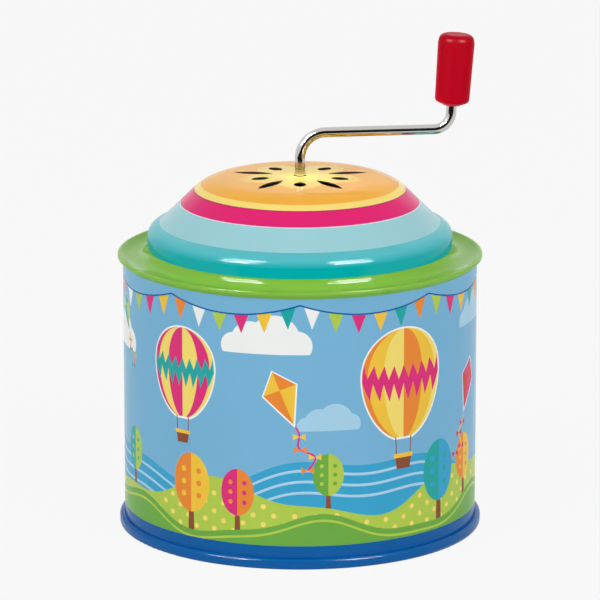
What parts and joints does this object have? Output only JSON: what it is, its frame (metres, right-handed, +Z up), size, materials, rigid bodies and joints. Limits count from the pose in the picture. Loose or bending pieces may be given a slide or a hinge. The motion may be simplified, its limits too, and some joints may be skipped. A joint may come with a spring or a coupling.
{
  "type": "hand-cranked music box",
  "caption": "Round lithographed tin music box with a domed, slotted lid and a bent wire crank with a red grip, which turns a pinned barrel against a comb inside.",
  "frame": {"origin": "middle of the tin at the foot of its base rim, on the table", "axes": "+Z up along the tin's axis and the crank's shaft, -Y to the front, +X along the crank's arm at rest"},
  "size_m": [0.105, 0.105, 0.1437],
  "materials": {
    "printed_tin": "glossy lithographed tinplate",
    "lid_tin": "glossy lithographed tinplate in rings of colour",
    "base_tin": "glossy lacquered tinplate",
    "plated_wire": "bright nickel plating",
    "red_plastic": "glossy moulding",
    "spring_steel": "dark spring steel",
    "acetal": "white moulding",
    "nylon": "natural nylon",
    "brass": "turned brass",
    "zinc_plated_steel": "bright zinc plating",
    "screw_steel": "plated steel",
    "die_cast_zinc": null,
    "fibre": "red-brown vulcanised fibre",
    "comb_steel": "ground steel",
    "soft_metal": null
  },
  "bodies": {
    "casing": {"body_shell": "printed_tin", "lid": "lid_tin", "base_plate": "base_tin", "bedplate": "die_cast_zinc", "post_washers": "fibre", "base_screws": "screw_steel", "footstep_bush": "brass", "crank_bridge": "zinc_plated_steel", "bridge_bush": "brass", "bridge_screws": "screw_steel", "left_bracket": "zinc_plated_steel", "right_bracket": "zinc_plated_steel", "left_bush": "brass", "right_bush": "brass", "bracket_screws": "screw_steel", "comb": "comb_steel", "tuning_weights": "soft_metal", "comb_screws": "screw_steel"},
    "crank": {"crank_wire": "plated_wire", "wire_collar": "spring_steel", "worm": "acetal", "worm_pin": "spring_steel", "thrust_washer": "nylon"},
    "grip": {"crank_grip": "red_plastic"},
    "cylinder": {"cylinder_arbor": "screw_steel", "worm_wheel": "acetal", "barrel": "brass", "barrel_cap": "acetal"}
  },
  "joints": [
    {"name": "crank_turn", "type": "hinge", "parent": "casing", "child": "crank", "pos_m": [0, 0, 0], "axis": [0, 0, 1], "continuous": true},
    {"name": "grip_spin", "type": "hinge", "parent": "crank", "child": "grip", "pos_m": [0.0429, 0, 0.11605], "axis": [0.0663, 0, 0.9978], "continuous": true},
    {"name": "cylinder_turn", "type": "hinge", "parent": "casing", "child": "cylinder", "pos_m": [0, 0.013, 0.024], "axis": [1, 0, 0], "continuous": true}
  ],
  "couplings": [
    {"joint": "cylinder_turn", "follows": "crank_turn", "ratio": 0.041667}
  ]
}
